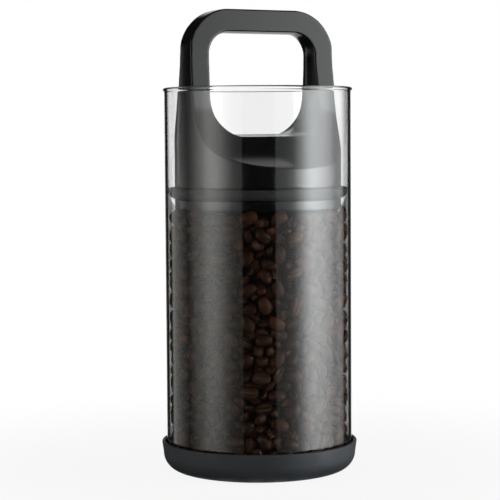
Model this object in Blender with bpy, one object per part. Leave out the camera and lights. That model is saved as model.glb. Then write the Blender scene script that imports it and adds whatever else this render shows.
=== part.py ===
"""Glass coffee canister: a straight glass jar in a soft boot, closed by a plunger lid with an arch handle.

Metres, +Z up. The origin is the centre of the boot's underside, and the handle's front face looks along -Y.
A turned piece's outline is a list of (radius, height) points, with heights above the boot's underside.
"""

import math
import random

import bmesh
import bpy

MM = 0.001

# Fits shared by all pieces
TOUCH_GAP = 0.3 * MM  # between pieces that bear on each other
RUNNING_GAP = 0.3 * MM  # around a piece that slides
CUT_OVERRUN = 2.0 * MM  # how far a cutter runs past what it cuts

# Boot: the soft cup that the jar stands in
BOOT_HEIGHT = 18.45 * MM
BOOT_FLARE = 0.9 * MM  # the rim is wider than the wall's foot by this
BOOT_CORNER_RADIUS = 11.0 * MM
BOOT_CORNER_STEPS = 5
BOOT_FLOOR = 4.0 * MM
BOOT_LIP = 2.0 * MM
BOOT_GROOVE = 1.1 * MM  # how far the lip stands off the glass
BOOT_GROOVE_DEPTH = 6.0 * MM

# Jar
JAR_RADIUS = 56.9 * MM
JAR_WALL = 1.7 * MM
JAR_FLOOR = 6.0 * MM
JAR_HEIGHT = 229.8 * MM
JAR_HEEL_RADIUS = 9.0 * MM
JAR_BEAD = 0.9 * MM  # how far the rim stands out from the wall
JAR_BEAD_HEIGHT = 5.0 * MM
JAR_BEAD_SLOPE = 2.0 * MM

# Beans: one fill, whose side is lumpy. Every other bean of a row touches the glass, and the rest lie deeper
LID_DEPTH = 76.7 * MM  # from the jar's mouth down to the beans
FILL_CREEP = 2.1 * MM  # how far the beans stand up around the cup
FILL_CREEP_GAP = 0.6 * MM
BEAN_ROWS = 14
BEAN_COLUMNS = 36
BEAN_HOLLOW = 4.6 * MM  # how deep the deeper beans lie
BEAN_UNEVEN = 0.9 * MM  # how much that differs from bean to bean, either way
BEAN_WANDER = 1.5 * MM  # how far a bean lies from its even place, either way
BEAN_SEED = 7

# Lid, the sizes that its pieces share
LID_SIDE_GAP = 4.4 * MM  # to the glass, bridged by the seal's lip
HANDLE_LIFT = 3.0 * MM  # how far the handle rises to open the valve

# Cup: the bottom of the plunger
CUP_HEIGHT = 8.7 * MM
CUP_FLOOR = 2.5 * MM
CUP_WALL = 2.5 * MM
CUP_CHAMFER = 2.9 * MM
VENT_HOLE_RADIUS = 1.5 * MM
INNER_VENT_CIRCLE = 6.5 * MM
OUTER_VENT_CIRCLE = 12.0 * MM
INNER_VENT_COUNT = 6
OUTER_VENT_COUNT = 12
FILTER_RADIUS = 15.0 * MM
FILTER_THICKNESS = 0.8 * MM

# Cup screws, driven up through the cup's floor into the core
CUP_SCREW_COUNT = 3
CUP_SCREW_PLACE = 0.755  # share of the core's radius
CUP_SCREW_TURN = 30  # degrees
CUP_SCREW_RADIUS = 1.6 * MM
CUP_SCREW_LENGTH = 9.6 * MM
CUP_SCREW_HEAD_RADIUS = 3.3 * MM
CUP_SCREW_HEAD = 1.2 * MM
CUP_SCREW_SOCKET_RADIUS = 1.3 * MM
CUP_SCREW_SOCKET_DEPTH = 0.8 * MM
CUP_SCREW_SOCKET_SIDES = 6

# Seal: a ring with a lip that flares outwards and up
SEAL_HEIGHT = 6.2 * MM
SEAL_TONGUE_HEIGHT = 3.6 * MM
SEAL_LIP_EDGE = 0.7 * MM
SEAL_CURVE_STEPS = 5

# Core: the body of the plunger
SEAL_SEAT_DEPTH = 6.7 * MM  # how far the core is set in from the lid's side, behind the seal
CORE_WALL = 2.8 * MM
CORE_FLANGE = 2.4 * MM
CORE_PLATE = 3.0 * MM
CORE_PLATE_CLEARANCE = 10.5 * MM  # from the core's foot up to its plate
CORE_BARB = 1.5 * MM  # the rib that holds the seal stands out by this
CORE_BARB_HEIGHT = 1.4 * MM
SCREW_RIB_SHARE = 0.115  # share of the core's radius, each side of the cup screws

# Valve, in the middle of the core
VALVE_BORE_SHARE = 0.183  # share of the core's radius
CHAMBER_SHARE = 0.286  # share of the core's radius
CHAMBER_WALL = 2.0 * MM
CHAMBER_HEIGHT = 14.0 * MM
GASKET_SETBACK = 0.5 * MM
GASKET_SIDE_GAP = 1.0 * MM
GASKET_HEIGHT = 1.2 * MM
DISC_SIDE_GAP = 0.7 * MM
DISC_THICKNESS = 2.0 * MM
STEM_RADIUS = 2.5 * MM
STEM_HEAD_RADIUS = 5.0 * MM
STEM_HEAD = 2.5 * MM
STEM_GRIP = 3.7 * MM  # how far the stem reaches into the handle
CAP_THICKNESS = 2.2 * MM
CAP_PLUG = 2.8 * MM
CAP_BORE_GAP = 0.7 * MM
SPRING_RADIUS = 6.0 * MM
SPRING_WIRE = 1.0 * MM
SPRING_TURNS = 4
SPRING_TURN_POINTS = 12

# Guide screws, which hold the handle to the core and let it rise
GUIDE_COUNT = 3
GUIDE_PLACE = 0.48  # share of the core's radius
GUIDE_TURN = 90  # degrees
GUIDE_SHOULDER_RADIUS = 2.8 * MM
GUIDE_HEAD_RADIUS = 4.5 * MM
GUIDE_HEAD = 2.5 * MM
GUIDE_THREAD_RADIUS = 2.0 * MM
GUIDE_THREAD_LENGTH = 8.0 * MM
GUIDE_STOP_GAP = 0.3 * MM  # left under the plate when the handle is fully up

# Handle shell: the upper lid, scooped front and back so that an arch handle is left standing
HANDLE_HEIGHT = 107.5 * MM
HANDLE_TAPER = 1.8 * MM  # how much the handle is narrower than the lid, each side
TAPER_START = 31.4 * MM
SOCKET_DEPTH = 8.4 * MM  # of the hollow that the core enters
RECESS_SIDE_GAP = 1.5 * MM
RECESS_HEADROOM = 5.5 * MM
SLAB_TOP_THICKNESS = 13.0 * MM
SLAB_FOOT_THICKNESS = 15.8 * MM
SLAB_FOOT_HEIGHT = 73.4 * MM
SCOOP_EDGE_HEIGHT = 12.4 * MM
SCOOP_DROP = 19.5 * MM  # reach of the curve's upper handle, down the slab
SCOOP_DROP_LEAN = 3.5 * MM
SCOOP_RUN = 43.4 * MM  # reach of the curve's lower handle, in from the edge
SCOOP_RUN_RISE = 9.5 * MM
SCOOP_STEPS = 14
ARCH_CORNER_RADIUS = 26.5 * MM
ARCH_STEPS = 8
GRIP_POST_WIDTH = 14.1 * MM  # this, the bar and the saddle are measured in the middle of the slab
GRIP_BAR_HEIGHT = 14.4 * MM
GRIP_CORNER_RADIUS = 13.0 * MM
GRIP_STEPS = 6
GRIP_CROWN = 2.8 * MM  # how much wider the opening is far out to the front and back, each side
GRIP_CROWN_REACH = 9.1 * MM  # how far from the middle most of that has happened
GRIP_SECTION_SHARES = (0.0, 0.35, 0.7, 1.05, 1.5, 2.2)  # places of the opening's sections, in those reaches
SADDLE_HEIGHT = 32.1 * MM
SADDLE_CORNER_WIDTH = 16.0 * MM
SADDLE_CORNER_HEIGHT = 23.0 * MM

# Roundness of the meshes
OUTER_SIDES = 64
INNER_SIDES = 40
SMALL_SIDES = 24
HOLE_SIDES = 12
CORNER_STEPS = 3
SHARP_ANGLE = math.radians(35)

# Places that follow from the sizes above
jar_base = BOOT_FLOOR + TOUCH_GAP
jar_floor_top = jar_base + JAR_FLOOR
jar_top = jar_base + JAR_HEIGHT
jar_inner_radius = JAR_RADIUS - JAR_WALL
boot_rim_radius = JAR_RADIUS + BOOT_GROOVE + BOOT_LIP
lid_radius = jar_inner_radius - LID_SIDE_GAP
handle_radius = lid_radius - HANDLE_TAPER
core_radius = lid_radius - SEAL_SEAT_DEPTH
cup_screw_circle = core_radius * CUP_SCREW_PLACE
guide_circle = core_radius * GUIDE_PLACE
screw_rib_wall = core_radius * SCREW_RIB_SHARE
valve_bore_radius = core_radius * VALVE_BORE_SHARE
chamber_radius = core_radius * CHAMBER_SHARE
fill_base = jar_floor_top + TOUCH_GAP
fill_top = jar_top - LID_DEPTH
cup_base = fill_top + TOUCH_GAP
cup_floor_top = cup_base + CUP_FLOOR
cup_top = cup_base + CUP_HEIGHT
core_base = cup_floor_top + TOUCH_GAP
plate_base = core_base + CORE_PLATE_CLEARANCE
plate_top = plate_base + CORE_PLATE
chamber_top = plate_top + CHAMBER_HEIGHT
chamber_outer_radius = chamber_radius + CHAMBER_WALL
gasket_base = plate_top + TOUCH_GAP
disc_base = gasket_base + GASKET_HEIGHT + TOUCH_GAP
disc_top = disc_base + DISC_THICKNESS
cap_base = chamber_top + TOUCH_GAP
cap_top = cap_base + CAP_THICKNESS
cap_plug_base = cap_base - CAP_PLUG
seal_base = cup_top + TOUCH_GAP
seal_top = seal_base + SEAL_HEIGHT
handle_base = seal_top + TOUCH_GAP
handle_top = handle_base + HANDLE_HEIGHT
socket_top = handle_base + SOCKET_DEPTH
recess_top = cap_top + RECESS_HEADROOM
saddle_top = handle_base + SADDLE_HEIGHT
arch_spring = handle_top - ARCH_CORNER_RADIUS  # where the round top corners begin
stem_top = recess_top + STEM_GRIP


def material(name, colour, roughness, metallic=0.0, transmission=0.0):
    """A Principled material with one colour and finish."""
    look = bpy.data.materials.new(name)
    look.use_nodes = True
    shader = look.node_tree.nodes["Principled BSDF"]
    shader.inputs["Base Color"].default_value = (*colour, 1.0)
    shader.inputs["Roughness"].default_value = roughness
    shader.inputs["Metallic"].default_value = metallic
    shader.inputs["Transmission Weight"].default_value = transmission
    look.diffuse_color = (*colour, 1.0)
    return look


def add_object(name, bm, look, base=0.0):
    """Store a finished mesh as an object whose origin is on the jar's axis, at height base."""
    bmesh.ops.recalc_face_normals(bm, faces=bm.faces)
    mesh = bpy.data.meshes.new(name)
    bm.to_mesh(mesh)
    bm.free()
    mesh.shade_smooth()
    mesh.set_sharp_from_angle(angle=SHARP_ANGLE)
    if look:
        mesh.materials.append(look)
    obj = bpy.data.objects.new(name, mesh)
    obj.location.z = base
    bpy.context.scene.collection.objects.link(obj)
    return obj


def add_empty(name, height, parent=None):
    """An empty on the jar's axis, which carries the pieces that move together."""
    empty = bpy.data.objects.new(name, None)
    empty.location.z = height
    bpy.context.scene.collection.objects.link(empty)
    if parent:
        attach(empty, parent)
    return empty


def attach(obj, parent):
    """Parent obj without moving it. No piece or empty is rotated or scaled."""
    above = parent
    while above:
        obj.location -= above.location
        above = above.parent
    obj.parent = parent


def arc(centre, radii, start, end, steps=CORNER_STEPS):
    """Points on an ellipse's arc, both ends included. Angles are in degrees, from the first axis."""
    points = []
    for step in range(steps + 1):
        angle = math.radians(start + (end - start) * step / steps)
        points.append((centre[0] + radii[0] * math.cos(angle), centre[1] + radii[1] * math.sin(angle)))
    return points


def bezier(start, start_handle, end_handle, end, steps):
    """Points on a cubic curve, both ends included."""
    points = []
    for step in range(steps + 1):
        t = step / steps
        weights = ((1 - t) ** 3, 3 * t * (1 - t) ** 2, 3 * t**2 * (1 - t), t**3)
        corners = (start, start_handle, end_handle, end)
        points.append(tuple(sum(w * c[axis] for w, c in zip(weights, corners)) for axis in (0, 1)))
    return points


def revolve(bm, outline, sides, base=0.0, centre=(0.0, 0.0)):
    """Add the solid of a closed outline turned about an upright axis. Points at radius 0 become poles.

    The corners of each ring start half a side round, so that holes on the main axes miss the edges.
    Returns the rings of corners, one for each point of the outline.
    """
    rings = []
    for radius, height in outline:
        if radius == 0:
            rings.append([bm.verts.new((*centre, height - base))])
            continue
        ring = []
        for side in range(sides):
            angle = math.tau * (side + 0.5) / sides
            x = centre[0] + radius * math.cos(angle)
            y = centre[1] + radius * math.sin(angle)
            ring.append(bm.verts.new((x, y, height - base)))
        rings.append(ring)
    for lower, upper in zip(rings, rings[1:] + rings[:1]):
        if len(lower) == 1 and len(upper) == 1:
            continue
        for side in range(sides):
            after = (side + 1) % sides
            corners = [lower[side % len(lower)], lower[after % len(lower)]]
            corners += [upper[after % len(upper)], upper[side % len(upper)]]
            bm.faces.new(list(dict.fromkeys(corners)))
    return rings


def turned(name, outline, look, sides, base):
    """A turned piece whose origin is at height base."""
    bm = bmesh.new()
    revolve(bm, outline, sides, base)
    return add_object(name, bm, look, base)


def cut(obj, bm, name, operation="DIFFERENCE"):
    """Apply a cutter, given in world heights, to obj as a Boolean."""
    cutter = add_object(f"{obj.name}_{name}", bm, None)
    cutter.hide_render = True
    cutter.display_type = "WIRE"
    attach(cutter, obj)
    modifier = obj.modifiers.new(name, "BOOLEAN")
    modifier.operation = operation
    modifier.object = cutter


def circle_places(radius, count, start=0.0):
    """Places evenly round the jar's axis. start is in degrees."""
    angles = [math.radians(start) + math.tau * index / count for index in range(count)]
    return [(radius * math.cos(angle), radius * math.sin(angle)) for angle in angles]


def add_holes(bm, places, radius, low, high):
    """Add an upright cylinder at each place, as a cutter for holes."""
    for place in places:
        outline = [(0, low), (radius, low), (radius, high), (0, high)]
        revolve(bm, outline, HOLE_SIDES, centre=place)


def loft(sections, along):
    """The solid through upright outlines of equal counts, given as (offset along X or Y, outline)."""
    bm = bmesh.new()
    rings = []
    for offset, outline in sections:
        if along == "X":
            rings.append([bm.verts.new((offset, across, height)) for across, height in outline])
        else:
            rings.append([bm.verts.new((across, offset, height)) for across, height in outline])
    bm.faces.new(rings[0])
    bm.faces.new(rings[-1])
    for near, far in zip(rings, rings[1:]):
        for index in range(len(near)):
            after = (index + 1) % len(near)
            bm.faces.new((near[index], near[after], far[after], far[index]))
    return bm


def prism(outline, along, reach):
    """The solid of an upright outline, extruded both ways along X or Y by reach."""
    return loft([(-reach, outline), (reach, outline)], along)


def mirrored(half):
    """A closed outline from its right half, listed from bottom to top."""
    return half + [(-across, height) for across, height in reversed(half)]


def make_boot(look):
    """The boot hugs the glass up to the groove, and its lip stands off the glass above that."""
    foot_radius = boot_rim_radius - BOOT_FLARE
    corner_centre = (foot_radius - BOOT_CORNER_RADIUS, BOOT_CORNER_RADIUS)
    lip_radius = BOOT_LIP / 2
    lip_centre = (boot_rim_radius - lip_radius, BOOT_HEIGHT - lip_radius)
    seat_radius = JAR_RADIUS + TOUCH_GAP
    heel_radius = JAR_HEEL_RADIUS + TOUCH_GAP
    heel_centre = (seat_radius - heel_radius, BOOT_FLOOR + heel_radius)
    groove_base = BOOT_HEIGHT - BOOT_GROOVE_DEPTH
    outline = [(0, 0)]
    outline += arc(corner_centre, (BOOT_CORNER_RADIUS, BOOT_CORNER_RADIUS), -90, 0, BOOT_CORNER_STEPS)
    outline += arc(lip_centre, (lip_radius, lip_radius), 0, 180)
    outline += [(boot_rim_radius - BOOT_LIP, groove_base), (seat_radius, groove_base)]
    outline += arc(heel_centre, (heel_radius, heel_radius), 0, -90)
    outline += [(0, BOOT_FLOOR)]
    return turned("base_boot", outline, look, OUTER_SIDES, 0.0)


def make_jar(look):
    """A straight jar with a rounded heel and a slight bead round its mouth."""
    heel_centre = (JAR_RADIUS - JAR_HEEL_RADIUS, jar_base + JAR_HEEL_RADIUS)
    inner_heel = JAR_HEEL_RADIUS - JAR_WALL
    inner_heel_centre = (jar_inner_radius - inner_heel, jar_floor_top + inner_heel)
    bead_radius = JAR_RADIUS + JAR_BEAD
    bead_base = jar_top - JAR_BEAD_HEIGHT
    rim_round = (JAR_WALL + JAR_BEAD) / 2
    rim_centre = (jar_inner_radius + rim_round, jar_top - rim_round)
    outline = [(0, jar_base)]
    outline += arc(heel_centre, (JAR_HEEL_RADIUS, JAR_HEEL_RADIUS), -90, 0)
    outline += [(JAR_RADIUS, bead_base), (bead_radius, bead_base + JAR_BEAD_SLOPE)]
    outline += arc(rim_centre, (rim_round, rim_round), 0, 180)
    outline += arc(inner_heel_centre, (inner_heel, inner_heel), 0, -90)
    outline += [(0, jar_floor_top)]
    return turned("glass_jar", outline, look, OUTER_SIDES, jar_base)


def make_beans(look):
    """The beans as one fill, level under the cup and standing up a little round it.

    Each corner of the side's rows is the outermost point of one bean.
    """
    fill_radius = jar_inner_radius - TOUCH_GAP
    corner = JAR_HEEL_RADIUS - JAR_WALL
    corner_centre = (fill_radius - corner, fill_base + corner)
    creep_radius = lid_radius + FILL_CREEP_GAP
    side_base = fill_base + corner
    row_height = (fill_top + FILL_CREEP - side_base) / BEAN_ROWS
    outline = [(0, fill_base)]
    outline += arc(corner_centre, (corner, corner), -90, 0)
    first_row = len(outline)
    for row in range(BEAN_ROWS):
        outline.append((fill_radius, side_base + row_height * row + row_height / 2))
    outline += [(fill_radius, fill_top + FILL_CREEP), (creep_radius, fill_top + FILL_CREEP)]
    outline += [(creep_radius, fill_top), (0, fill_top)]
    bm = bmesh.new()
    rings = revolve(bm, outline, BEAN_COLUMNS, fill_base)
    chance = random.Random(BEAN_SEED)
    crests = set()
    for row, ring in enumerate(rings[first_row:first_row + BEAN_ROWS]):
        for column, bean in enumerate(ring):
            is_crest = (row + column) % 2 == 0
            turn = chance.uniform(-BEAN_WANDER, BEAN_WANDER) / fill_radius
            rise = chance.uniform(-BEAN_WANDER, BEAN_WANDER)
            uneven = chance.uniform(-BEAN_UNEVEN, BEAN_UNEVEN)
            depth = max(uneven, 0) if is_crest else BEAN_HOLLOW + uneven
            angle = math.atan2(bean.co.y, bean.co.x) + turn
            bean.co.x = (fill_radius - depth) * math.cos(angle)
            bean.co.y = (fill_radius - depth) * math.sin(angle)
            bean.co.z += rise
            if is_crest:
                crests.add(bean)
    for face in list(bm.faces):
        around = [bean in crests for bean in face.verts]
        if len(around) == 4 and any(around):
            crest = around.index(True)
            bmesh.utils.face_split(face, face.verts[crest - 1], face.verts[crest - 3])
    return add_object("coffee_beans", bm, look, fill_base)


def make_cup(look, screw_places):
    """The plunger's bottom, with vent holes in the middle and sunk screw seats round them."""
    inner_radius = lid_radius - CUP_WALL
    outline = [(0, cup_base), (lid_radius - CUP_CHAMFER, cup_base), (lid_radius, cup_base + CUP_CHAMFER)]
    outline += [(lid_radius, cup_top), (inner_radius, cup_top), (inner_radius, cup_floor_top)]
    outline += [(0, cup_floor_top)]
    cup = turned("piston_cup", outline, look, INNER_SIDES, cup_base)

    vents = bmesh.new()
    low = cup_base - CUT_OVERRUN
    high = cup_floor_top + CUT_OVERRUN
    add_holes(vents, circle_places(INNER_VENT_CIRCLE, INNER_VENT_COUNT), VENT_HOLE_RADIUS, low, high)
    add_holes(vents, circle_places(OUTER_VENT_CIRCLE, OUTER_VENT_COUNT), VENT_HOLE_RADIUS, low, high)
    cut(cup, vents, "vents")

    seats = bmesh.new()
    seat_top = cup_base + CUP_SCREW_HEAD + TOUCH_GAP
    seat_radius = CUP_SCREW_HEAD_RADIUS + TOUCH_GAP
    shank_radius = CUP_SCREW_RADIUS + TOUCH_GAP
    for place in screw_places:
        seat = [(0, low), (seat_radius, low), (seat_radius, seat_top), (shank_radius, seat_top)]
        seat += [(shank_radius, high), (0, high)]
        revolve(seats, seat, HOLE_SIDES, centre=place)
    cut(cup, seats, "screw_seats")
    return cup


def make_filter(look):
    """A fine disc that lies on the cup's floor, over the vents."""
    base = cup_floor_top + TOUCH_GAP
    top = base + FILTER_THICKNESS
    outline = [(0, base), (FILTER_RADIUS, base), (FILTER_RADIUS, top), (0, top)]
    return turned("filter_disc", outline, look, SMALL_SIDES, base)


def make_cup_screw(name, look, place):
    """A screw with a flat head and a hexagon socket, point up."""
    head_top = cup_base + CUP_SCREW_HEAD
    tip = head_top + CUP_SCREW_LENGTH
    outline = [(0, cup_base), (CUP_SCREW_HEAD_RADIUS, cup_base), (CUP_SCREW_HEAD_RADIUS, head_top)]
    outline += [(CUP_SCREW_RADIUS, head_top), (CUP_SCREW_RADIUS, tip - CUP_SCREW_RADIUS), (0, tip)]
    screw = turned(name, outline, look, HOLE_SIDES, cup_base)
    socket = bmesh.new()
    low = cup_base - CUT_OVERRUN
    high = cup_base + CUP_SCREW_SOCKET_DEPTH
    hexagon = [(0, low), (CUP_SCREW_SOCKET_RADIUS, low), (CUP_SCREW_SOCKET_RADIUS, high), (0, high)]
    revolve(socket, hexagon, CUP_SCREW_SOCKET_SIDES)
    cut(screw, socket, "socket")
    screw.location.x, screw.location.y = place
    return screw


def make_core(look, cup_screw_places, guide_places):
    """The plunger's body: a drum crossed by a plate, with the valve's chamber and a rib for screws."""
    inner_radius = core_radius - CORE_WALL
    flange_radius = lid_radius - CUP_WALL - TOUCH_GAP
    flange_top = cup_top
    flange_base = flange_top - CORE_FLANGE
    rib_inner = cup_screw_circle - screw_rib_wall
    rib_outer = cup_screw_circle + screw_rib_wall
    barb_base = seal_base + SEAL_TONGUE_HEIGHT + TOUCH_GAP
    barb_top = barb_base + CORE_BARB_HEIGHT
    drum_top = socket_top - TOUCH_GAP
    outline = [(valve_bore_radius, plate_base), (rib_inner, plate_base), (rib_inner, core_base)]
    outline += [(rib_outer, core_base), (rib_outer, plate_base), (inner_radius, plate_base)]
    outline += [(inner_radius, flange_base), (flange_radius, flange_base), (flange_radius, flange_top)]
    outline += [(core_radius, flange_top), (core_radius, barb_base), (core_radius + CORE_BARB, barb_base)]
    outline += [(core_radius + CORE_BARB, barb_top), (core_radius, barb_top), (core_radius, drum_top)]
    outline += [(inner_radius, drum_top), (inner_radius, plate_top), (chamber_outer_radius, plate_top)]
    outline += [(chamber_outer_radius, chamber_top), (chamber_radius, chamber_top)]
    outline += [(chamber_radius, plate_top), (valve_bore_radius, plate_top)]
    core = turned("piston_core", outline, look, INNER_SIDES, core_base)

    holes = bmesh.new()
    bore_radius = GUIDE_SHOULDER_RADIUS + RUNNING_GAP
    add_holes(holes, guide_places, bore_radius, plate_base - CUT_OVERRUN, plate_top + CUT_OVERRUN)
    screw_radius = CUP_SCREW_RADIUS + TOUCH_GAP
    screw_tip = cup_base + CUP_SCREW_HEAD + CUP_SCREW_LENGTH + TOUCH_GAP
    add_holes(holes, cup_screw_places, screw_radius, core_base - CUT_OVERRUN, screw_tip)
    cut(core, holes, "screw_holes")
    return core


def make_seal(look):
    """The wiper seal: its foot grips the core, and its lip curves out and up to the glass."""
    foot_radius = core_radius + TOUCH_GAP
    tip_radius = jar_inner_radius - RUNNING_GAP
    groove_radius = core_radius + CORE_BARB + TOUCH_GAP
    tongue_top = seal_base + SEAL_TONGUE_HEIGHT
    lip_base = seal_top - SEAL_LIP_EDGE
    curve_radii = (tip_radius - lid_radius, lip_base - seal_base)
    outline = [(foot_radius, seal_base)]
    outline += arc((lid_radius, lip_base), curve_radii, -90, 0, SEAL_CURVE_STEPS)
    outline += [(tip_radius, seal_top), (groove_radius, seal_top), (groove_radius, tongue_top)]
    outline += [(foot_radius, tongue_top)]
    return turned("wiper_seal", outline, look, OUTER_SIDES, seal_base)


def make_gasket(look):
    """The soft ring that the valve disc shuts on."""
    inner = valve_bore_radius + GASKET_SETBACK
    outer = chamber_radius - GASKET_SIDE_GAP
    top = gasket_base + GASKET_HEIGHT
    outline = [(inner, gasket_base), (outer, gasket_base), (outer, top), (inner, top)]
    return turned("valve_gasket", outline, look, SMALL_SIDES, gasket_base)


def make_disc(look):
    """The valve disc, carried by the stem's head."""
    bore = STEM_RADIUS + TOUCH_GAP
    outer = chamber_radius - DISC_SIDE_GAP
    outline = [(bore, disc_base), (outer, disc_base), (outer, disc_top), (bore, disc_top)]
    return turned("valve_disc", outline, look, SMALL_SIDES, disc_base)


def make_stem(look):
    """The stem, from its head under the disc up into the handle."""
    head_top = disc_base - TOUCH_GAP
    base = head_top - STEM_HEAD
    outline = [(0, base), (STEM_HEAD_RADIUS, base), (STEM_HEAD_RADIUS, head_top)]
    outline += [(STEM_RADIUS, head_top), (STEM_RADIUS, stem_top), (0, stem_top)]
    return turned("valve_stem", outline, look, SMALL_SIDES, base)


def make_spring_cap(look):
    """The cap that closes the valve's chamber and backs the spring."""
    bore = STEM_RADIUS + CAP_BORE_GAP
    plug_radius = chamber_radius - TOUCH_GAP
    outline = [(bore, cap_plug_base), (plug_radius, cap_plug_base), (plug_radius, cap_base)]
    outline += [(chamber_outer_radius, cap_base), (chamber_outer_radius, cap_top), (bore, cap_top)]
    return turned("spring_cap", outline, look, SMALL_SIDES, cap_plug_base)


def make_spring(look):
    """The spring, one open coil between the disc and the cap."""
    low = disc_top + TOUCH_GAP + SPRING_WIRE / 2
    high = cap_plug_base - TOUCH_GAP - SPRING_WIRE / 2
    pitch = (high - low) / SPRING_TURNS
    print(f"spring: least gap between turns {(pitch - SPRING_WIRE) / MM:.2f} mm")
    curve = bpy.data.curves.new("valve_spring", "CURVE")
    curve.dimensions = "3D"
    curve.bevel_depth = SPRING_WIRE / 2
    curve.bevel_resolution = 1
    curve.render_resolution_u = 0
    curve.use_fill_caps = True
    curve.materials.append(look)
    count = SPRING_TURNS * SPRING_TURN_POINTS + 1
    spline = curve.splines.new("POLY")
    spline.points.add(count - 1)
    for index, point in enumerate(spline.points):
        turn = index / SPRING_TURN_POINTS
        x = SPRING_RADIUS * math.cos(math.tau * turn)
        y = SPRING_RADIUS * math.sin(math.tau * turn)
        point.co = (x, y, pitch * turn, 1.0)
    spring = bpy.data.objects.new("valve_spring", curve)
    spring.location.z = low
    bpy.context.scene.collection.objects.link(spring)
    return spring


def make_guide_screw(name, look, place):
    """A shoulder screw: the head stops under the plate, and the thread is in the handle."""
    head_top = plate_base - HANDLE_LIFT - GUIDE_STOP_GAP
    base = head_top - GUIDE_HEAD
    shoulder_top = socket_top - TOUCH_GAP
    outline = [(0, base), (GUIDE_HEAD_RADIUS, base), (GUIDE_HEAD_RADIUS, head_top)]
    outline += [(GUIDE_SHOULDER_RADIUS, head_top), (GUIDE_SHOULDER_RADIUS, shoulder_top)]
    tip = socket_top + GUIDE_THREAD_LENGTH
    outline += [(GUIDE_THREAD_RADIUS, shoulder_top), (GUIDE_THREAD_RADIUS, tip), (0, tip)]
    screw = turned(name, outline, look, HOLE_SIDES, base)
    screw.location.x, screw.location.y = place
    return screw


def shell_body():
    """The turned body that the handle shell is cut from, hollow underneath."""
    socket_radius = core_radius + RUNNING_GAP
    recess_radius = chamber_outer_radius + RECESS_SIDE_GAP
    outline = [(socket_radius, handle_base), (lid_radius, handle_base)]
    outline += [(lid_radius, handle_base + TAPER_START), (handle_radius, arch_spring)]
    outline += [(handle_radius, handle_top), (0, handle_top), (0, recess_top)]
    outline += [(recess_radius, recess_top), (recess_radius, socket_top), (socket_radius, socket_top)]
    return outline


def arch_outline():
    """The handle from the front: straight sides and round top corners."""
    side = lid_radius + CUT_OVERRUN
    corner_centre = (handle_radius - ARCH_CORNER_RADIUS, arch_spring)
    half = [(side, handle_base - CUT_OVERRUN), (side, handle_base + TAPER_START)]
    half += arc(corner_centre, (ARCH_CORNER_RADIUS, ARCH_CORNER_RADIUS), 0, 90, ARCH_STEPS)
    return mirrored(half)


def scoop_outline():
    """The handle from the side: a slab that spreads in a hollow curve to the lid's edge."""
    edge = (lid_radius, handle_base + SCOOP_EDGE_HEIGHT)
    foot = (SLAB_FOOT_THICKNESS / 2, handle_base + SLAB_FOOT_HEIGHT)
    foot_handle = (foot[0] + SCOOP_DROP_LEAN, foot[1] - SCOOP_DROP)
    edge_handle = (edge[0] - SCOOP_RUN, edge[1] + SCOOP_RUN_RISE)
    side = lid_radius + CUT_OVERRUN
    top = (SLAB_TOP_THICKNESS / 2, handle_top + CUT_OVERRUN)
    half = [(side, handle_base - CUT_OVERRUN), (side, edge[1])]
    half += bezier(edge, edge_handle, foot_handle, foot, SCOOP_STEPS)
    half += [top]
    return mirrored(half)


def grip_outline(growth):
    """The opening for the hand, seen from the front, made larger on all sides by growth."""
    half_width = handle_radius - GRIP_POST_WIDTH
    grip_top = handle_top - GRIP_BAR_HEIGHT
    low_centre = (half_width - SADDLE_CORNER_WIDTH, saddle_top + SADDLE_CORNER_HEIGHT)
    high_centre = (half_width - GRIP_CORNER_RADIUS, grip_top - GRIP_CORNER_RADIUS)
    low_radii = (SADDLE_CORNER_WIDTH + growth, SADDLE_CORNER_HEIGHT + growth)
    high_radius = GRIP_CORNER_RADIUS + growth
    half = arc(low_centre, low_radii, -90, 0, ARCH_STEPS)
    half += arc(high_centre, (high_radius, high_radius), 0, 90, GRIP_STEPS)
    return mirrored(half)


def grip_sections(reach):
    """The opening from back to front: narrowest in the middle, so that the bar and posts feel round to the hand."""
    sections = []
    for share in GRIP_SECTION_SHARES:
        growth = GRIP_CROWN * (1 - math.exp(-share * share))
        sections.append((share * GRIP_CROWN_REACH, grip_outline(growth)))
    sections.append((reach, grip_outline(GRIP_CROWN)))
    front = [(-offset, outline) for offset, outline in reversed(sections[1:])]
    return front + sections


def make_handle_shell(look, guide_places):
    """The upper lid and arch handle in one piece."""
    shell = turned("handle_shell", shell_body(), look, OUTER_SIDES, handle_base)
    reach = lid_radius + CUT_OVERRUN
    cut(shell, prism(arch_outline(), "Y", reach), "arch", "INTERSECT")
    cut(shell, prism(scoop_outline(), "X", reach), "scoops", "INTERSECT")
    cut(shell, loft(grip_sections(reach), "Y"), "grip")
    holes = bmesh.new()
    low = socket_top - CUT_OVERRUN
    thread_top = socket_top + GUIDE_THREAD_LENGTH + TOUCH_GAP
    add_holes(holes, guide_places, GUIDE_THREAD_RADIUS + TOUCH_GAP, low, thread_top)
    add_holes(holes, [(0, 0)], STEM_RADIUS + TOUCH_GAP, recess_top - CUT_OVERRUN, stem_top + TOUCH_GAP)
    cut(shell, holes, "screw_holes")
    return shell


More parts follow.
